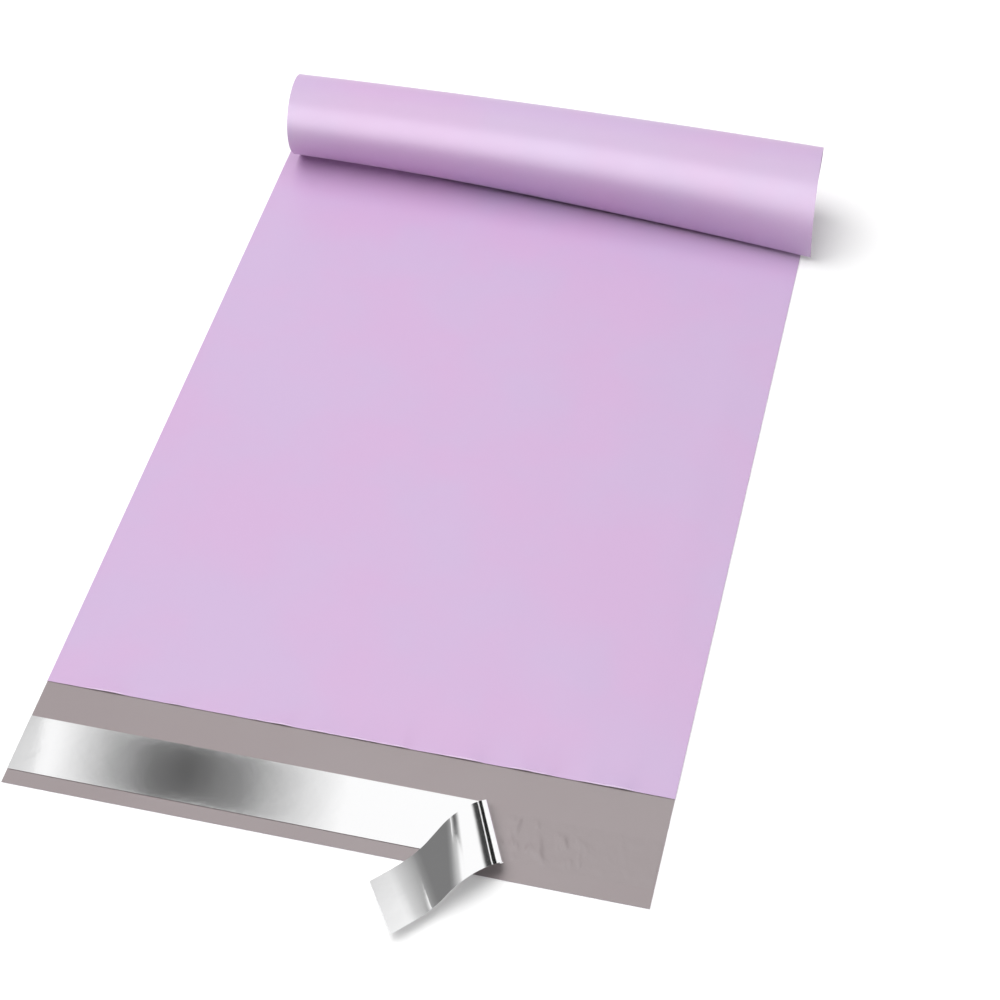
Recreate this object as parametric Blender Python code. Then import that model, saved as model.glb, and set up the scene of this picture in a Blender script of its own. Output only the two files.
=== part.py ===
"""Poly mailer bag, lying on its back panel with the flap open and the closed end rolled up.

One length of film is folded at the closed end and welded along both sides, so that it makes a pocket.
The back panel runs on past the mouth as the flap. The flap carries a strip of hot melt glue, and a
release liner covers the glue. The liner is peeled from the right end and folded back over itself.

Metres, +Z up. The origin is the middle of the mouth, on the underside. +X runs to the bag's right and
+Y from the mouth to the closed end. The bag lies on the plane z = 0.
"""

import math

import bmesh
import bpy
from mathutils import Matrix, Vector

# Film
BAG_WIDTH = 0.254
PANEL_LENGTH = 0.460        # from the mouth to the fold at the closed end, along the film
FLAP_DEPTH = 0.051          # from the mouth to the flap's free edge
FILM_THICKNESS = 0.00008
POCKET_GAP = 0.0002         # air between the two panels of the empty pocket
WELD_WIDTH = 0.003          # where the panels are melted together, along each side

# Roll at the closed end, at the bag's left side and at its right side
ROLL_RADIUS_LEFT = 0.0185
ROLL_RADIUS_RIGHT = 0.0203
ROLL_TURN_LEFT = math.radians(345)
ROLL_TURN_RIGHT = math.radians(282)
LIP_HEIGHT_LEFT = 0.0011    # underside of the rolled end above the floor
LIP_HEIGHT_RIGHT = 0.0032
ROLL_DRIFT = 0.005          # how far the rolled end creeps to the right
LEAD_IN_TURN = math.radians(40)
LEAD_IN_WIDENING = 2.0      # the roll starts this many radii wider than it goes on
FRONT_BLEND_START = math.radians(190)
FRONT_BLEND_END = math.radians(285)

# Glue and release liner on the flap
SEAT_GAP = 0.0003
LINER_WIDTH = 0.0265
LINER_THICKNESS = 0.00008
LINER_EDGE_MARGIN = 0.0065  # from the flap's free edge to the liner
GLUE_WIDTH = 0.022
GLUE_THICKNESS = 0.0001
GLUE_END_MARGIN = 0.0008    # the glue stops this far from the flap's sides

# Peeled part of the liner. A lean is how far a bend line slants from straight across the strip.
PEELED_LENGTH = 0.0662
FOLD_RADIUS = 0.00265
FOLD_TURN = math.radians(140)
FOLD_LEAN = math.radians(25)
CROWN_RADIUS = 0.0176
CROWN_TURN = math.radians(72)
CROWN_LEAN = math.radians(34)     # at the crown's far side
LANDING_RADIUS = 0.0256
LANDING_TURN = math.radians(29.5)
LANDING_LEAN = math.radians(21)
END_LEAN = math.radians(17)
END_CUT_LEAN = math.radians(16.5)
FLOOR_GAP = 0.0001

# Fineness of the mesh
PANEL_COLUMNS = 10
ROLL_ROWS = 52
FOLD_EDGE_POINTS = 3
BEND_STEP = math.radians(10)
FALL_TRIES = 12

BAG_THICKNESS = 2 * FILM_THICKNESS + POCKET_GAP
FILM_LEVELS = (0.0, FILM_THICKNESS, FILM_THICKNESS + POCKET_GAP, BAG_THICKNESS)
GLUE_BASE = FILM_THICKNESS + SEAT_GAP
LINER_BASE = GLUE_BASE + GLUE_THICKNESS + SEAT_GAP
LINER_LOW_EDGE = -FLAP_DEPTH + LINER_EDGE_MARGIN


def smooth_step(value, start, end):
    """0 before start, 1 after end, and an even curve between them."""
    share = min(max((value - start) / (end - start), 0.0), 1.0)
    return share * share * (3.0 - 2.0 * share)


def between(left, right, share):
    return left + (right - left) * share


def add_skin(bm, rows):
    """Adds a triangulated skin over a grid of points. Every skin is split along the same diagonal."""
    grid = [[bm.verts.new(point) for point in row] for row in rows]
    for lower, upper in zip(grid, grid[1:]):
        for i in range(len(lower) - 1):
            bm.faces.new((lower[i], lower[i + 1], upper[i + 1]))
            bm.faces.new((lower[i], upper[i + 1], upper[i]))


def finish_object(name, bm, color, roughness, metallic):
    """Closes the mesh, turns its faces outwards and puts it in the scene with its own material."""
    bmesh.ops.remove_doubles(bm, verts=bm.verts, dist=0.000001)
    bmesh.ops.recalc_face_normals(bm, faces=bm.faces)
    mesh = bpy.data.meshes.new(name)
    bm.to_mesh(mesh)
    bm.free()
    material = bpy.data.materials.new(name)
    material.use_nodes = True
    shader = material.node_tree.nodes["Principled BSDF"]
    shader.inputs["Base Color"].default_value = color
    shader.inputs["Roughness"].default_value = roughness
    shader.inputs["Metallic"].default_value = metallic
    mesh.materials.append(material)
    obj = bpy.data.objects.new(name, mesh)
    bpy.context.scene.collection.objects.link(obj)
    return obj


def roll_section(share):
    """Section of the roll at a share of the width: (arc length, y, z, heading) of the underside.

    The radius is given for each heading. It starts wide, settles to the roll's own radius, and then
    changes to a front radius, which is worked out so that the rolled end stops at its lip height.
    """
    radius = between(ROLL_RADIUS_LEFT, ROLL_RADIUS_RIGHT, share)
    turn = between(ROLL_TURN_LEFT, ROLL_TURN_RIGHT, share)
    lip = between(LIP_HEIGHT_LEFT, LIP_HEIGHT_RIGHT, share)
    step = turn / ROLL_ROWS
    headings = [(row + 0.5) * step for row in range(ROLL_ROWS)]
    front = [smooth_step(h, FRONT_BLEND_START, FRONT_BLEND_END) for h in headings]
    back = [
        (1 - f) * (1 + LEAD_IN_WIDENING * (1 - smooth_step(h, 0, LEAD_IN_TURN)))
        for h, f in zip(headings, front)
    ]
    rise_of_back = step * sum(b * math.sin(h) for b, h in zip(back, headings))
    rise_of_front = step * sum(f * math.sin(h) for f, h in zip(front, headings))
    front_radius = (lip - radius * rise_of_back) / rise_of_front

    section = [(0.0, 0.0, 0.0, 0.0)]
    for row, heading in enumerate(headings):
        length, y, z, _ = section[-1]
        piece = step * (radius * back[row] + front_radius * front[row])
        section.append(
            (length + piece, y + piece * math.cos(heading), z + piece * math.sin(heading), (row + 1) * step)
        )
    return section


def make_bag_film():
    """Both panels, the side welds, the fold at the closed end and the flap, as one piece of film."""
    half = BAG_WIDTH / 2
    inner = half - WELD_WIDTH
    spread = [-inner + 2 * inner * i / PANEL_COLUMNS for i in range(PANEL_COLUMNS + 1)]
    columns = [-half] + spread + [half]
    sections = [roll_section((x + half) / BAG_WIDTH) for x in columns]
    flap_row, mouth_row, first_roll_row = 0, 1, 2
    last_row = first_roll_row + ROLL_ROWS

    def place(column, row, level, back_off=0.0):
        """The point at a column and a row, level above the film's underside."""
        x = columns[column]
        if row == flap_row:
            return Vector((x, -FLAP_DEPTH, level))
        if row == mouth_row:
            return Vector((x, 0, level))
        section = sections[column]
        arc = section[-1][0]
        length, y, z, heading = section[row - first_roll_row]
        along_y, along_z = math.cos(heading), math.sin(heading)
        return Vector((
            x + ROLL_DRIFT * length / arc,
            PANEL_LENGTH - arc + y - level * along_z - back_off * along_y,
            z + level * along_y - back_off * along_z,
        ))

    every = range(len(columns))
    inside = range(1, len(columns) - 1)
    panel_rows = range(mouth_row, last_row + 1)
    underside, floor, ceiling, top = FILM_LEVELS
    bm = bmesh.new()

    add_skin(bm, [[place(c, r, underside) for c in every] for r in range(flap_row, last_row + 1)])
    add_skin(bm, [[place(c, r, top) for c in every] for r in panel_rows])
    add_skin(bm, [[place(c, r, floor) for c in every] for r in (flap_row, mouth_row)])
    add_skin(bm, [[place(c, flap_row, level) for c in every] for level in (underside, floor)])

    # The pocket stops one film thickness short of the fold
    for level in (floor, ceiling):
        rows = [[place(c, r, level) for c in inside] for r in range(mouth_row, last_row)]
        rows.append([place(c, last_row, level, FILM_THICKNESS) for c in inside])
        add_skin(bm, rows)
    add_skin(bm, [[place(c, last_row, level, FILM_THICKNESS) for c in inside] for level in (floor, ceiling)])
    for c in (inside[0], inside[-1]):
        rows = [[place(c, r, level) for level in (floor, ceiling)] for r in range(mouth_row, last_row)]
        rows.append([place(c, last_row, level, FILM_THICKNESS) for level in (floor, ceiling)])
        add_skin(bm, rows)

    # Mouth: the cut edge of the front panel, and the ends of the two welds
    add_skin(bm, [[place(c, mouth_row, level) for c in every] for level in (ceiling, top)])
    for weld in (every[:2], every[-2:]):
        add_skin(bm, [[place(c, mouth_row, level) for c in weld] for level in (floor, ceiling)])

    # Cut sides, and the half-round fold at the closed end
    for c in (every[0], every[-1]):
        add_skin(bm, [[place(c, r, level) for level in (underside, floor)] for r in (flap_row, mouth_row)])
        add_skin(bm, [[place(c, r, level) for level in FILM_LEVELS] for r in panel_rows])
    fold_radius = BAG_THICKNESS / 2
    angles = [math.pi * (i / (FOLD_EDGE_POINTS + 1) - 0.5) for i in range(FOLD_EDGE_POINTS + 2)]
    add_skin(bm, [
        [
            place(c, last_row, fold_radius * (1 + math.sin(a)), -fold_radius * math.cos(a))
            for c in every
        ]
        for a in angles
    ])
    bmesh.ops.remove_doubles(bm, verts=bm.verts, dist=0.000001)
    open_edges = [edge for edge in bm.edges if edge.is_boundary]
    bmesh.ops.holes_fill(bm, edges=open_edges, sides=0)
    return finish_object("bag_film", bm, (0.69, 0.49, 0.75, 1.0), 0.4, 0.0)


def make_adhesive_strip():
    """A flat band of hot melt glue along the inside of the flap, under the middle of the liner."""
    length = BAG_WIDTH - 2 * GLUE_END_MARGIN
    middle = Vector((0, LINER_LOW_EDGE + LINER_WIDTH / 2, GLUE_BASE + GLUE_THICKNESS / 2))
    bm = bmesh.new()
    bmesh.ops.create_cube(bm, size=1.0)
    bmesh.ops.scale(bm, vec=(length, GLUE_WIDTH, GLUE_THICKNESS), verts=bm.verts)
    bmesh.ops.translate(bm, vec=middle, verts=bm.verts)
    return finish_object("adhesive_strip", bm, (0.42, 0.39, 0.38, 1.0), 0.2, 0.0)


def bend_lines(fall_length):
    """Bends of the peeled strip: (distance along the strip's middle, lean of the bend line, turn).

    The strip turns up and back at the fold, goes over a crown, falls straight for fall_length and levels
    off where it lands. The turns are split into small ones, with flat facets between their bend lines.
    """
    bends = []
    start = 0.0
    for radius, turn, first_lean, last_lean, run in (
        (FOLD_RADIUS, FOLD_TURN, FOLD_LEAN, FOLD_LEAN, 0.0),
        (CROWN_RADIUS, CROWN_TURN, FOLD_LEAN, CROWN_LEAN, fall_length),
        (LANDING_RADIUS, -LANDING_TURN, LANDING_LEAN, END_LEAN, 0.0),
    ):
        steps = max(1, round(abs(turn) / BEND_STEP))
        for step in range(steps):
            lean = between(first_lean, last_lean, (step + 0.5) / steps)
            length = radius * abs(turn) / steps / math.cos(lean)
            bends.append((start + length / 2, lean, turn / steps))
            start += length
        start += run
    return bends


def liner_rows(level, fall_length):
    """Pairs of edge points along the liner, level above its stuck side, from the left end to the cut end.

    Each facet keeps the place of the one before it, turned about the bend line between them.
    """
    half_width = LINER_WIDTH / 2
    fold_at = BAG_WIDTH / 2 - PEELED_LENGTH
    edges = (0.0, LINER_WIDTH)
    ends = [PEELED_LENGTH - y * math.tan(END_CUT_LEAN) for y in edges]
    facet = Matrix.Translation((fold_at, LINER_LOW_EDGE, LINER_BASE))
    rows = [[facet @ Vector((-BAG_WIDTH / 2 - fold_at, y, level)) for y in edges]]
    for middle, lean, turn in bend_lines(fall_length):
        line = [middle + (half_width - y) * math.tan(lean) for y in edges]
        if any(x >= end for x, end in zip(line, ends)):
            break
        centre = Vector((middle, half_width, 0))
        axis = Vector((math.sin(lean), -math.cos(lean), 0))
        there, back = Matrix.Translation(centre), Matrix.Translation(-centre)
        halfway = facet @ there @ Matrix.Rotation(turn / 2, 4, axis) @ back
        mitred = level / math.cos(turn / 2)
        rows.append([halfway @ Vector((x, y, mitred)) for x, y in zip(line, edges)])
        facet = facet @ there @ Matrix.Rotation(turn, 4, axis) @ back
    rows.append([facet @ Vector((x, y, level)) for x, y in zip(ends, edges)])
    return rows


def fall_to_floor():
    """The length of the straight fall for which the strip just reaches the floor."""
    slope = math.sin(FOLD_TURN + CROWN_TURN - math.pi)
    stuck_rows = 1 + round(FOLD_TURN / BEND_STEP)
    fall_length = 0.0
    for _ in range(FALL_TRIES):
        loose = liner_rows(LINER_THICKNESS, fall_length)[stuck_rows:]
        lowest = min(point.z for row in loose for point in row)
        fall_length = max(0.0, fall_length + (lowest - FLOOR_GAP) / slope)
    return fall_length


def make_release_liner():
    """The liner: stuck from the left end to the slanted fold, then back over itself and to the floor."""
    fall_length = fall_to_floor()
    bm = bmesh.new()
    lower, upper = (liner_rows(level, fall_length) for level in (0.0, LINER_THICKNESS))
    add_skin(bm, lower)
    add_skin(bm, upper)
    for side in (0, 1):
        add_skin(bm, [[row[side] for row in lower], [row[side] for row in upper]])
    for end in (0, -1):
        add_skin(bm, [lower[end], upper[end]])
    return finish_object("release_liner", bm, (0.85, 0.85, 0.86, 1.0), 0.18, 1.0)


for old in list(bpy.data.objects):
    bpy.data.objects.remove(old)
make_bag_film()
make_adhesive_strip()
make_release_liner()
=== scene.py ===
import math

import bpy
from mathutils import Matrix, Vector, noise


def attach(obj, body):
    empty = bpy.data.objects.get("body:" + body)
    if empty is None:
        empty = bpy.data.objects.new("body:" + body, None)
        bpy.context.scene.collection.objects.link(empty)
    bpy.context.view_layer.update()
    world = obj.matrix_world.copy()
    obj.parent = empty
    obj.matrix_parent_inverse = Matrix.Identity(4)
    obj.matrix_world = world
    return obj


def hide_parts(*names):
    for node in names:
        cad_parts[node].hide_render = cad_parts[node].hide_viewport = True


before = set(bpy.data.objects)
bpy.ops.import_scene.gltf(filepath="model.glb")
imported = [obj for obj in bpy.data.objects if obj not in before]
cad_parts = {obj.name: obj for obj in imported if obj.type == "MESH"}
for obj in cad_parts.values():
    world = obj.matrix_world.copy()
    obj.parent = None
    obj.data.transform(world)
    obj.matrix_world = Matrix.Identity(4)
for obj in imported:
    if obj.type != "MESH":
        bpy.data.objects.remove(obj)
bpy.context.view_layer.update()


# Camera
# A product shot from above and a little to the right of the bag, with a long lens. The place and the
# angles come from fitting the bag's corners, mouth and flap edge.
camera_data = bpy.data.cameras.new("camera")
camera_data.sensor_width = 36.0
camera_data.lens = 90.14
camera_pitch = math.radians(46.95)
camera_yaw = math.radians(13.2356)
camera = bpy.data.objects.new("camera", camera_data)
camera.location = (0.19238, -0.57032, 0.77836)
camera.rotation_euler = (math.pi / 2 - camera_pitch, 0.0, camera_yaw)
bpy.context.scene.collection.objects.link(camera)
bpy.context.scene.camera = camera
bpy.context.scene.view_settings.view_transform = "Standard"


# Bag film
# One length of co-extruded polyethylene, lilac outside and grey inside. It is folded at the closed end,
# welded along both sides and cut at the mouth, where the back panel runs on as the flap. The closed end
# has been curled up and over towards the mouth, tighter at the left side than at the right.
bag_width = 0.254
panel_length = 0.460
flap_depth = 0.051
film_thickness = 0.00008
pocket_gap = 0.0002
weld_width = 0.003
# A pair holds the values at the left and the right side, or the start and the end of a soft change.
roll_radius = (0.0185, 0.0203)
roll_turn = (math.radians(345), math.radians(282))
lip_height = (0.0011, 0.0032)
roll_drift = 0.005
lead_in_turn = math.radians(40)
lead_in_widening = 2.0
front_blend = (math.radians(190), math.radians(285))
flap_rows = 10
panel_rows = 70
roll_rows = 110
inner_columns = 100
lip_rows = (0.0, 0.00015, 0.0003, 0.00045, 0.0006, 0.0009, 0.0016, 0.003)
mouth_lift = 0.0009
mouth_lift_reach = 0.008
lip_curl = (-0.0004, 0.0006)
ripple_waves = (105.0, 240.0)
ripple_range = (-0.4, 0.4)
panel_swell = 0.0004
swell_waves = (38.0, 9.0)
swell_start = (0.0, 0.03)
swell_end = (0.24, 0.31)
weld_hold = 0.02


def smooth_step(value, start, end):
    """0 before start, 1 after end and a soft rise between them."""
    share = min(max((value - start) / (end - start), 0.0), 1.0)
    return share * share * (3.0 - 2.0 * share)


def between(pair, share):
    """The value at a share of the way from the first of a pair to the second."""
    return pair[0] + (pair[1] - pair[0]) * share


def roll_section(share):
    """The roll's section at a share of the width: (arc length, y, z, heading) of the film's outside."""
    radius = between(roll_radius, share)
    step = between(roll_turn, share) / roll_rows
    headings = [(row + 0.5) * step for row in range(roll_rows)]
    front = [smooth_step(h, *front_blend) for h in headings]
    back = [
        (1 - f) * (1 + lead_in_widening * (1 - smooth_step(h, 0, lead_in_turn)))
        for h, f in zip(headings, front)
    ]
    back_rise = step * sum(b * math.sin(h) for b, h in zip(back, headings))
    front_rise = step * sum(f * math.sin(h) for f, h in zip(front, headings))
    front_radius = (between(lip_height, share) - radius * back_rise) / front_rise
    section = [(0.0, 0.0, 0.0, 0.0)]
    for row, heading in enumerate(headings):
        length, y, z, _ = section[-1]
        piece = step * (radius * back[row] + front_radius * front[row])
        section.append((
            length + piece,
            y + piece * math.cos(heading),
            z + piece * math.sin(heading),
            (row + 1) * step,
        ))
    return section


def front_panel_lift(x, along):
    """How far the upper film stands off the lower one: a slight swell, and a wavy lip at the mouth."""
    side = smooth_step(bag_width / 2 - weld_width - abs(x), 0.0, weld_hold)
    waves = 0.55 + 0.45 * noise.noise(Vector((x * swell_waves[0], along * swell_waves[1], 4.7)))
    long_ripple = noise.noise(Vector((x * ripple_waves[0], 2.3, 0.4)))
    short_ripple = noise.noise(Vector((x * ripple_waves[1], 5.1, 0.4)))
    ripple = smooth_step(0.7 * long_ripple + 0.45 * short_ripple, *ripple_range)
    mouth = math.exp(-along / mouth_lift_reach) * ripple * smooth_step(along, *lip_curl)
    swell = smooth_step(along, *swell_start) * waves * (1.0 - smooth_step(along, *swell_end))
    return side * (panel_swell * swell + mouth_lift * mouth)


half_width = bag_width / 2
weld_edge = half_width - weld_width
columns = [-half_width, -half_width + weld_width / 2]
columns += [-weld_edge + 2 * weld_edge * i / inner_columns for i in range(inner_columns + 1)]
columns += [half_width - weld_width / 2, half_width]
sections = [roll_section((x + half_width) / bag_width) for x in columns]
mouth_row = flap_rows
roll_row = mouth_row + panel_rows
last_row = roll_row + roll_rows
lower_film_top = 1.5 * film_thickness
top_level = 2 * film_thickness + pocket_gap


def panel_y(step, start):
    """How far from the mouth a row of the panel lies: close rows at the lip, and even ones past it."""
    if step < len(lip_rows):
        return lip_rows[step]
    return between((lip_rows[-1], start), (step - len(lip_rows) + 1) / (panel_rows - len(lip_rows) + 1))


def film_point(column, row, level, back_off=0.0):
    """A point of the bag: level is its height above the underside of the film, before it is curled."""
    x = columns[column]
    if row <= mouth_row:
        return Vector((x, -flap_depth * (1 - row / mouth_row), level))
    section = sections[column]
    arc = section[-1][0]
    start = panel_length - arc
    if row < roll_row:
        y = panel_y(row - mouth_row, start)
        if level > lower_film_top:
            level += front_panel_lift(x, y)
        return Vector((x, y, level))
    length, y, z, heading = section[row - roll_row]
    return Vector((
        x + roll_drift * length / arc,
        start + y - level * math.sin(heading) - back_off * math.cos(heading),
        z + level * math.cos(heading) - back_off * math.sin(heading),
    ))


def mouth_point(column, level):
    """A point of the front panel's cut edge."""
    point = film_point(column, mouth_row, level)
    point.z += front_panel_lift(columns[column], 0.0)
    return point


skin_points, skin_faces, skin_sides = [], [], []


def add_skin(rows, side):
    """Adds a grid of faces. side is 0 for the lilac outside of the film and 1 for its grey inside."""
    first = len(skin_points)
    count = len(rows[0])
    for row in rows:
        skin_points.extend(row)
    for r in range(len(rows) - 1):
        for c in range(count - 1):
            a = first + r * count + c
            skin_faces.append((a, a + 1, a + count + 1, a + count))
            skin_sides.append(side)


every = range(len(columns))
inside = range(2, len(columns) - 2)
floor_level = film_thickness
ceiling_level = film_thickness + pocket_gap
add_skin([[film_point(c, r, 0.0) for c in every] for r in range(last_row + 1)], 0)
add_skin(
    [[mouth_point(c, top_level) for c in every]]
    + [[film_point(c, r, top_level) for c in every] for r in range(mouth_row + 1, last_row + 1)],
    0,
)
add_skin([[film_point(c, r, floor_level) for c in every] for r in range(mouth_row + 1)], 1)
add_skin([[film_point(c, 0, level) for c in every] for level in (0.0, floor_level)], 1)
pocket_floor = [[film_point(c, r, floor_level) for c in inside] for r in range(mouth_row, last_row)]
pocket_floor.append([film_point(c, last_row, floor_level, film_thickness) for c in inside])
pocket_ceiling = [[mouth_point(c, ceiling_level) for c in inside]]
pocket_ceiling += [
    [film_point(c, r, ceiling_level) for c in inside] for r in range(mouth_row + 1, last_row)
]
pocket_ceiling.append([film_point(c, last_row, ceiling_level, film_thickness) for c in inside])
add_skin(pocket_floor, 1)
add_skin(pocket_ceiling, 1)
add_skin([pocket_floor[-1], pocket_ceiling[-1]], 1)
for end in (0, -1):
    add_skin([[row[end] for row in pocket_floor], [row[end] for row in pocket_ceiling]], 1)
add_skin([[mouth_point(c, level) for c in every] for level in (ceiling_level, top_level)], 1)
for weld in (every[:3], every[-3:]):
    add_skin(
        [[film_point(c, mouth_row, level) for c in weld] for level in (floor_level, ceiling_level)],
        1,
    )
bag_levels = (0.0, floor_level, ceiling_level, top_level)
for c in (every[0], every[-1]):
    add_skin(
        [[film_point(c, r, level) for level in (0.0, floor_level)] for r in range(mouth_row + 1)],
        0,
    )
    add_skin(
        [[film_point(c, r, level) for level in bag_levels] for r in range(mouth_row, last_row + 1)],
        0,
    )
add_skin([[film_point(c, last_row, level) for c in every] for level in bag_levels], 0)


def closed_mesh(name, points, faces, slots):
    """A mesh with its doubled points merged and its faces turned outwards."""
    mesh = bpy.data.meshes.new(name)
    mesh.from_pydata(points, [], faces)
    mesh.polygons.foreach_set("material_index", slots)
    piece = bpy.data.objects.new(name, mesh)
    bpy.context.scene.collection.objects.link(piece)
    bpy.ops.object.select_all(action="DESELECT")
    piece.select_set(True)
    bpy.context.view_layer.objects.active = piece
    bpy.ops.object.mode_set(mode="EDIT")
    bpy.ops.mesh.select_all(action="SELECT")
    bpy.ops.mesh.remove_doubles(threshold=0.000002)
    bpy.ops.mesh.normals_make_consistent(inside=False)
    bpy.ops.object.mode_set(mode="OBJECT")
    bpy.ops.object.shade_smooth_by_angle(angle=math.radians(40))
    return piece


bag = closed_mesh("mailer_bag_film", skin_points, skin_faces, skin_sides)

# The mottle is the faint uneven tint of blown film, the cloud its uneven gloss, the swell its slight
# waviness and the grain its very fine surface.
film_group = bpy.data.node_groups.new("blown_film", "ShaderNodeTree")
for name, way, kind in (
    ("Colour", "INPUT", "NodeSocketColor"),
    ("Second colour", "INPUT", "NodeSocketColor"),
    ("Roughness", "INPUT", "NodeSocketFloat"),
    ("Colour", "OUTPUT", "NodeSocketColor"),
    ("Roughness", "OUTPUT", "NodeSocketFloat"),
    ("Height", "OUTPUT", "NodeSocketFloat"),
):
    film_group.interface.new_socket(name=name, in_out=way, socket_type=kind)
nodes, links = film_group.nodes, film_group.links
group_in = nodes.new("NodeGroupInput")
group_out = nodes.new("NodeGroupOutput")
place = nodes.new("ShaderNodeTexCoord")
mottle = nodes.new("ShaderNodeTexNoise")
mottle.inputs["Scale"].default_value = 14.0
mottle.inputs["Detail"].default_value = 3.0
mottle.inputs["Roughness"].default_value = 0.55
mottle_range = nodes.new("ShaderNodeMapRange")
mottle_range.interpolation_type = "SMOOTHSTEP"
mottle_range.inputs["From Min"].default_value = 0.36
mottle_range.inputs["From Max"].default_value = 0.64
tint = nodes.new("ShaderNodeMix")
tint.data_type = "RGBA"
cloud = nodes.new("ShaderNodeTexNoise")
cloud.inputs["Scale"].default_value = 60.0
cloud.inputs["Detail"].default_value = 4.0
cloud_range = nodes.new("ShaderNodeMapRange")
cloud_range.inputs["To Min"].default_value = -0.035
cloud_range.inputs["To Max"].default_value = 0.035
rough_sum = nodes.new("ShaderNodeMath")
rough_sum.operation = "ADD"
grain = nodes.new("ShaderNodeTexNoise")
grain.inputs["Scale"].default_value = 1400.0
grain.inputs["Detail"].default_value = 2.0
swell = nodes.new("ShaderNodeTexNoise")
swell.inputs["Scale"].default_value = 30.0
swell.inputs["Detail"].default_value = 1.0
grain_share = nodes.new("ShaderNodeMath")
grain_share.operation = "MULTIPLY_ADD"
grain_share.inputs[1].default_value = 0.02
for texture in (mottle, cloud, grain, swell):
    links.new(place.outputs["Object"], texture.inputs["Vector"])
links.new(mottle.outputs["Fac"], mottle_range.inputs["Value"])
links.new(mottle_range.outputs["Result"], tint.inputs["Factor"])
links.new(group_in.outputs["Colour"], tint.inputs["A"])
links.new(group_in.outputs["Second colour"], tint.inputs["B"])
links.new(cloud.outputs["Fac"], cloud_range.inputs["Value"])
links.new(cloud_range.outputs["Result"], rough_sum.inputs[0])
links.new(group_in.outputs["Roughness"], rough_sum.inputs[1])
links.new(grain.outputs["Fac"], grain_share.inputs[0])
links.new(swell.outputs["Fac"], grain_share.inputs[2])
links.new(tint.outputs["Result"], group_out.inputs["Colour"])
links.new(rough_sum.outputs["Value"], group_out.inputs["Roughness"])
links.new(grain_share.outputs["Value"], group_out.inputs["Height"])


def film_material(name, colour, second_colour, roughness, bump_depth):
    """A film material, with the two colours of its mottle."""
    material = bpy.data.materials.new(name)
    material.use_nodes = True
    tree = material.node_tree
    shader = tree.nodes["Principled BSDF"]
    shader.inputs["IOR"].default_value = 1.6
    shader.inputs["Specular IOR Level"].default_value = 1.0
    shader.inputs["Sheen Weight"].default_value = 0.3
    shader.inputs["Sheen Roughness"].default_value = 0.25
    film = tree.nodes.new("ShaderNodeGroup")
    film.node_tree = film_group
    film.inputs["Colour"].default_value = colour
    film.inputs["Second colour"].default_value = second_colour
    film.inputs["Roughness"].default_value = roughness
    bump = tree.nodes.new("ShaderNodeBump")
    bump.inputs["Strength"].default_value = 1.0
    bump.inputs["Distance"].default_value = bump_depth
    tree.links.new(film.outputs["Colour"], shader.inputs["Base Color"])
    tree.links.new(film.outputs["Roughness"], shader.inputs["Roughness"])
    tree.links.new(film.outputs["Height"], bump.inputs["Height"])
    tree.links.new(bump.outputs["Normal"], shader.inputs["Normal"])
    return material


lilac = (0.54, 0.346, 0.574, 1)
bluer_lilac = (0.516, 0.365, 0.584, 1)
grey = (0.246, 0.204, 0.209, 1)
paler_grey = (0.252, 0.212, 0.217, 1)
film_bump = 0.0003
bag.data.materials.append(film_material("lilac_outside", lilac, bluer_lilac, 0.45, film_bump))
bag.data.materials.append(film_material("grey_inside", grey, paler_grey, 0.40, film_bump))
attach(bag, "root")
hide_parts("bag_film")


# Adhesive strip
# A band of hot melt glue along the inside of the flap. Where the liner has been peeled away its surface
# shows, glossy and pulled into low ripples across the band.
glue_width = 0.022
glue_thickness = 0.00005
glue_end_margin = 0.0008
liner_width = 0.0265
liner_edge_margin = 0.0065
liner_low_edge = -flap_depth + liner_edge_margin
glue_middle = liner_low_edge + liner_width / 2
glue_columns = 360
glue_rows = 40
glue_seat = 0.00001
glue_edge = (0.30, 0.5)
ripple_height = 0.0006
ripple_fade = 0.8
ripple_reach = (0.018, 0.052)
cross_waves = (260.0, 70.0, 55.0)
cross_sharpness = 3.2
pucker_waves = (130.0, 190.0)
pucker_range = (-0.25, 0.4)
bare_start = 0.004
bare_full = 0.003
peeled_length = 0.0662
bpy.ops.object.select_all(action="DESELECT")
bpy.ops.mesh.primitive_grid_add(x_subdivisions=glue_columns, y_subdivisions=glue_rows, size=1.0)
glue = bpy.context.object
glue.name = "adhesive_strip_bare"
glue_length = bag_width - 2 * glue_end_margin
fold_at = half_width - peeled_length
for vertex in glue.data.vertices:
    across = vertex.co.y
    x = vertex.co.x * glue_length
    y = glue_middle + across * glue_width
    bare = smooth_step(x, fold_at - bare_start, fold_at + bare_full)
    bare *= 1.0 - ripple_fade * smooth_step(x - fold_at, *ripple_reach)
    edge = 1.0 - smooth_step(abs(across), *glue_edge)
    slanted = Vector((x * cross_waves[0] + y * cross_waves[1], y * cross_waves[2], 1.7))
    cross = 1.0 - abs(noise.noise(slanted)) * cross_sharpness
    puckered = Vector((x * pucker_waves[0], y * pucker_waves[1], 6.1))
    pucker = smooth_step(noise.noise(puckered), *pucker_range)
    height = bare * ripple_height * max(0.0, cross) ** 2 * pucker
    vertex.co = Vector((x, y, film_thickness + glue_seat + edge * (glue_thickness + height)))
bpy.ops.object.modifier_add(type="SOLIDIFY")
wall = glue.modifiers[-1]
wall.thickness = glue_thickness
wall.offset = -1.0
bpy.ops.object.modifier_apply(modifier=wall.name)
bpy.ops.object.shade_smooth_by_angle(angle=math.radians(60))
glue_material = bpy.data.materials.new("hot_melt_glue")
glue_material.use_nodes = True
tree = glue_material.node_tree
shader = tree.nodes["Principled BSDF"]
shader.inputs["Roughness"].default_value = 0.30
shader.inputs["IOR"].default_value = 1.6
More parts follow.
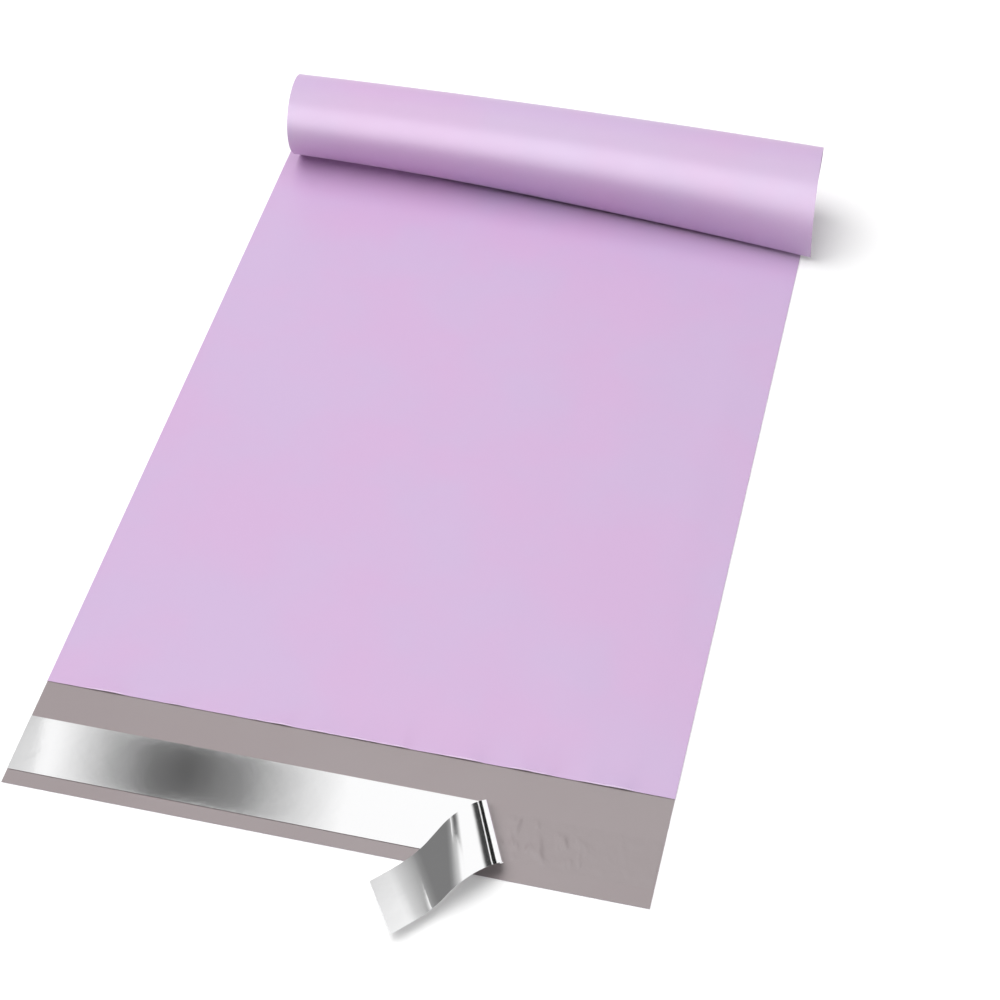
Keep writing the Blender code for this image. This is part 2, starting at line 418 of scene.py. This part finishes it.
shader.inputs["Specular IOR Level"].default_value = 1.0
place = tree.nodes.new("ShaderNodeTexCoord")
pull = tree.nodes.new("ShaderNodeTexNoise")
pull.inputs["Scale"].default_value = 260.0
pull.inputs["Detail"].default_value = 3.0
bump = tree.nodes.new("ShaderNodeBump")
bump.inputs["Strength"].default_value = 1.0
bump.inputs["Distance"].default_value = 0.00015
shade = tree.nodes.new("ShaderNodeMix")
shade.data_type = "RGBA"
shade.inputs["A"].default_value = grey
shade.inputs["B"].default_value = paler_grey
tree.links.new(place.outputs["Object"], pull.inputs["Vector"])
tree.links.new(pull.outputs["Fac"], bump.inputs["Height"])
tree.links.new(pull.outputs["Fac"], shade.inputs["Factor"])
tree.links.new(shade.outputs["Result"], shader.inputs["Base Color"])
tree.links.new(bump.outputs["Normal"], shader.inputs["Normal"])
glue.data.materials.append(glue_material)
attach(glue, "root")
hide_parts("adhesive_strip")


# Release liner
# A strip of silvered film with a release coat, stuck over the glue from the left end. The right end has
# been peeled: it turns up at a slanted fold, goes back over a crown and comes down to the floor, with a
# slight twist that leaves its near corner a little above the floor.
liner_thickness = 0.00006
liner_seat = 0.0003
liner_base = film_thickness + liner_seat
fold_radius = 0.00265
fold_turn = math.radians(140)
fold_lean = math.radians(25)
crown_radius = 0.0176
crown_turn = math.radians(72)
crown_lean = math.radians(34)
landing_radius = 0.0256
landing_turn = math.radians(19.5)
landing_lean = math.radians(21)
easing_radius = 0.046
easing_turn = math.radians(10)
easing_lean = math.radians(18.4)
end_lean = math.radians(17)
end_cut_lean = math.radians(16.5)
floor_gap = 0.0001
bend_step = math.radians(2.5)
liner_cells = 12
stuck_rows = 70
tail_rows = 5
fall_tries = 14


def bend_lines(fall_length):
    """Bends of the peeled strip: (distance along the strip's middle, lean of the bend line, turn)."""
    bends = []
    start = 0.0
    for radius, turn, leans, run in (
        (fold_radius, fold_turn, (fold_lean, fold_lean), 0.0),
        (crown_radius, crown_turn, (fold_lean, crown_lean), fall_length),
        (landing_radius, -landing_turn, (landing_lean, easing_lean), 0.0),
        (easing_radius, -easing_turn, (easing_lean, end_lean), 0.0),
    ):
        steps = round(abs(turn) / bend_step)
        for step in range(steps):
            lean = between(leans, (step + 0.5) / steps)
            length = radius * abs(turn) / steps / math.cos(lean)
            bends.append((start + length / 2, lean, turn / steps))
            start += length
        start += run
    return bends


def liner_rows(level, fall_length):
    """Rows of points along the liner. Each facet is the one before it turned about their bend line."""
    edges = [liner_width * i / liner_cells for i in range(liner_cells + 1)]
    middle_line = liner_width / 2
    facet = Matrix.Translation((fold_at, liner_low_edge, liner_base))
    left_end = -half_width - fold_at
    bends = bend_lines(fall_length)
    first = [bends[0][0] + (middle_line - y) * math.tan(bends[0][1]) for y in edges]
    rows = []
    for i in range(stuck_rows):
        share = i / stuck_rows
        rows.append([
            facet @ Vector((between((left_end, x), share), y, level)) for x, y in zip(first, edges)
        ])
    for middle, lean, turn in bends:
        line = [middle + (middle_line - y) * math.tan(lean) for y in edges]
        centre = Vector((middle, middle_line, 0))
        axis = Vector((math.sin(lean), -math.cos(lean), 0))
        there, back = Matrix.Translation(centre), Matrix.Translation(-centre)
        halfway = facet @ there @ Matrix.Rotation(turn / 2, 4, axis) @ back
        rows.append([halfway @ Vector((x, y, level / math.cos(turn / 2))) for x, y in zip(line, edges)])
        facet = facet @ there @ Matrix.Rotation(turn, 4, axis) @ back
    ends = [peeled_length - y * math.tan(end_cut_lean) for y in edges]
    for i in range(tail_rows):
        share = (i + 1) / tail_rows
        rows.append([
            facet @ Vector((between((x, end), share), y, level)) for x, end, y in zip(line, ends, edges)
        ])
    return rows


# The straight fall after the crown takes the length at which the strip just reaches the floor.
fall_slope = math.sin(fold_turn + crown_turn - math.pi)
fall_length = 0.004
for _ in range(fall_tries):
    loose_rows = liner_rows(liner_thickness, fall_length)[stuck_rows + round(fold_turn / bend_step):]
    lowest = min(point.z for row in loose_rows for point in row)
    fall_length += (lowest - floor_gap) / fall_slope

skin_points, skin_faces, skin_sides = [], [], []
liner_skins = [liner_rows(level, fall_length) for level in (0.0, liner_thickness)]
for rows in liner_skins:
    add_skin(rows, 0)
lower, upper = liner_skins
for side in (0, -1):
    add_skin([[row[side] for row in lower], [row[side] for row in upper]], 0)
    add_skin([lower[side], upper[side]], 0)
liner = closed_mesh("release_liner_silver", skin_points, skin_faces, skin_sides)
liner_material = bpy.data.materials.new("silvered_liner")
liner_material.use_nodes = True
tree = liner_material.node_tree
shader = tree.nodes["Principled BSDF"]
shader.inputs["Metallic"].default_value = 1.0
place = tree.nodes.new("ShaderNodeTexCoord")
haze = tree.nodes.new("ShaderNodeTexNoise")
haze.inputs["Scale"].default_value = 45.0
haze.inputs["Detail"].default_value = 4.0
haze_range = tree.nodes.new("ShaderNodeMapRange")
haze_range.inputs["To Min"].default_value = 0.05
haze_range.inputs["To Max"].default_value = 0.08
tone = tree.nodes.new("ShaderNodeMix")
tone.data_type = "RGBA"
tone.inputs["A"].default_value = (0.965, 0.965, 0.97, 1)
tone.inputs["B"].default_value = (0.985, 0.985, 0.99, 1)
bump = tree.nodes.new("ShaderNodeBump")
bump.inputs["Strength"].default_value = 1.0
bump.inputs["Distance"].default_value = 0.00004
tree.links.new(place.outputs["Object"], haze.inputs["Vector"])
tree.links.new(haze.outputs["Fac"], haze_range.inputs["Value"])
tree.links.new(haze_range.outputs["Result"], shader.inputs["Roughness"])
tree.links.new(haze.outputs["Fac"], tone.inputs["Factor"])
tree.links.new(tone.outputs["Result"], shader.inputs["Base Color"])
tree.links.new(haze.outputs["Fac"], bump.inputs["Height"])
tree.links.new(bump.outputs["Normal"], shader.inputs["Normal"])
liner.data.materials.append(liner_material)
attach(liner, "root")
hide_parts("release_liner")


# Floor
# A plain white table in a white surround. It is a little brighter to the camera and in reflections, so
# that it reads as white and still keeps the bag's shadow.
floor_size = 6.0
floor_drop = 0.0002
floor_lift = 0.13
bpy.ops.object.select_all(action="DESELECT")
bpy.ops.mesh.primitive_plane_add(size=floor_size, location=(0.0, 0.0, -floor_drop))
floor = bpy.context.object
floor.name = "white_table"
floor_material = bpy.data.materials.new("white_table")
floor_material.use_nodes = True
tree = floor_material.node_tree
shader = tree.nodes["Principled BSDF"]
shader.inputs["Base Color"].default_value = (0.9, 0.9, 0.9, 1)
shader.inputs["Roughness"].default_value = 0.9
shader.inputs["Specular IOR Level"].default_value = 0.1
light_path = tree.nodes.new("ShaderNodeLightPath")
seen = tree.nodes.new("ShaderNodeMath")
seen.operation = "MAXIMUM"
lift = tree.nodes.new("ShaderNodeMath")
lift.operation = "MULTIPLY"
lift.inputs[1].default_value = floor_lift
shader.inputs["Emission Color"].default_value = (1, 1, 1, 1)
tree.links.new(light_path.outputs["Is Camera Ray"], seen.inputs[0])
tree.links.new(light_path.outputs["Is Glossy Ray"], seen.inputs[1])
tree.links.new(seen.outputs["Value"], lift.inputs[0])
tree.links.new(lift.outputs["Value"], shader.inputs["Emission Strength"])
floor.data.materials.append(floor_material)


# Studio light
# A white surround, a wide light overhead that isn't mirrored, and a softbox low at the front that is
# only mirrored. Four cards, which are only mirrored too, give the silvered liner something darker than
# the white surround to reflect.
surround_light = 0.24
world = bpy.data.worlds.new("white_surround")
bpy.context.scene.world = world
world.use_nodes = True
tree = world.node_tree
background = tree.nodes["Background"]
background.inputs["Color"].default_value = (1, 1, 1, 1)
light_path = tree.nodes.new("ShaderNodeLightPath")
seen = tree.nodes.new("ShaderNodeMath")
seen.operation = "MAXIMUM"
seen_more = tree.nodes.new("ShaderNodeMath")
seen_more.operation = "MAXIMUM"
strength = tree.nodes.new("ShaderNodeMapRange")
strength.inputs["To Min"].default_value = surround_light
strength.inputs["To Max"].default_value = 1.0
tree.links.new(light_path.outputs["Is Camera Ray"], seen.inputs[0])
tree.links.new(light_path.outputs["Is Glossy Ray"], seen.inputs[1])
tree.links.new(seen.outputs["Value"], seen_more.inputs[0])
tree.links.new(light_path.outputs["Is Transmission Ray"], seen_more.inputs[1])
tree.links.new(seen_more.outputs["Value"], strength.inputs["Value"])
tree.links.new(strength.outputs["Result"], background.inputs["Strength"])


def direction(azimuth, elevation):
    """A unit vector, azimuth counted from +Y towards +X, in degrees."""
    turn, rise = math.radians(azimuth), math.radians(elevation)
    return Vector((math.sin(turn) * math.cos(rise), math.cos(turn) * math.cos(rise), math.sin(rise)))


def area_light(name, target, toward, distance, size, radiance):
    """A rectangular lamp that faces a point. radiance is how bright it looks, where 1 is white."""
    data = bpy.data.lights.new(name, "AREA")
    data.shape = "RECTANGLE"
    data.size, data.size_y = size
    data.energy = radiance * math.pi * size[0] * size[1]
    lamp = bpy.data.objects.new(name, data)
    lamp.location = Vector(target) + toward * distance
    lamp.rotation_euler = toward.to_track_quat("Z", "Y").to_euler()
    bpy.context.scene.collection.objects.link(lamp)
    return lamp


overhead = area_light(
    "overhead_light",
    target=(0.0, 0.2, 0.0),
    toward=direction(-84, 71),
    distance=2.0,
    size=(2.5, 2.5),
    radiance=3.0,
)
overhead.visible_glossy = False
softbox = area_light(
    "softbox",
    target=(0.0, 0.35, 0.03),
    toward=direction(-168, 26),
    distance=2.2,
    size=(1.5, 2.6),
    radiance=3.6,
)
softbox.visible_diffuse = False


def card(name, seen_from, toward, distance, size, spin, steps):
    """A card that faces a point. steps are (place from 0 to 1 across it, brightness)."""
    bpy.ops.object.select_all(action="DESELECT")
    bpy.ops.mesh.primitive_plane_add(size=1.0)
    plane = bpy.context.object
    plane.name = name
    plane.visible_camera = False
    plane.visible_shadow = False
    plane.visible_diffuse = False
    plane.visible_transmission = False
    facing = toward.to_track_quat("Z", "Y").to_matrix().to_4x4()
    plane.matrix_world = (
        Matrix.Translation(Vector(seen_from) + toward * distance)
        @ facing
        @ Matrix.Rotation(math.radians(spin), 4, "Z")
        @ Matrix.Diagonal((size[0], size[1], 1.0, 1.0))
    )
    material = bpy.data.materials.new(name)
    material.use_nodes = True
    tree = material.node_tree
    shader = tree.nodes["Principled BSDF"]
    shader.inputs["Base Color"].default_value = (0, 0, 0, 1)
    shader.inputs["Specular IOR Level"].default_value = 0.0
    shader.inputs["Emission Strength"].default_value = 1.0
    place = tree.nodes.new("ShaderNodeTexCoord")
    split = tree.nodes.new("ShaderNodeSeparateXYZ")
    shift = tree.nodes.new("ShaderNodeMath")
    shift.inputs[1].default_value = 0.5
    ramp = tree.nodes.new("ShaderNodeValToRGB")
    while len(ramp.color_ramp.elements) < len(steps):
        ramp.color_ramp.elements.new(0.5)
    for element, (spot, brightness) in zip(ramp.color_ramp.elements, steps):
        element.position = spot
        element.color = (brightness, brightness, brightness, 1)
    tree.links.new(place.outputs["Object"], split.inputs["Vector"])
    tree.links.new(split.outputs["X"], shift.inputs[0])
    tree.links.new(shift.outputs["Value"], ramp.inputs["Fac"])
    tree.links.new(ramp.outputs["Color"], shader.inputs["Emission Color"])
    plane.data.materials.append(material)
    return plane


flat_liner = (-0.061, -0.032, 0.001)
tail_middle = (0.050, -0.055, 0.008)
card(
    "dark_card",
    seen_from=flat_liner,
    toward=direction(-23.18, 52.85),
    distance=0.42,
    size=(0.1755, 0.0365),
    spin=-19.1,
    steps=[
        (0.03, 1.0), (0.235, 0.52), (0.36, 0.235), (0.53, 0.095), (0.64, 0.15), (0.77, 0.4), (0.96, 1.0)
    ],
)
card(
    "grey_card",
    seen_from=tail_middle,
    toward=direction(-55, 30),
    distance=1.0,
    size=(1.0, 0.8),
    spin=110,
    steps=[(0.5, 0.2), (0.6, 0.26), (0.7, 0.41), (0.83, 0.64), (0.89, 0.91), (0.93, 1.0)],
)
card(
    "upper_black_card",
    seen_from=tail_middle,
    toward=direction(20.5, 33.2),
    distance=1.0,
    size=(0.277, 0.3),
    spin=90,
    steps=[(0.0, 0.04), (0.5, 0.06), (0.64, 0.15), (0.76, 0.5), (0.9, 0.9), (1.0, 1.0)],
)
card(
    "lower_black_card",
    seen_from=tail_middle,
    toward=direction(27.0, 18.4),
    distance=1.0,
    size=(0.154, 0.3),
    spin=90,
    steps=[(0.0, 0.01), (1.0, 0.02)],
)
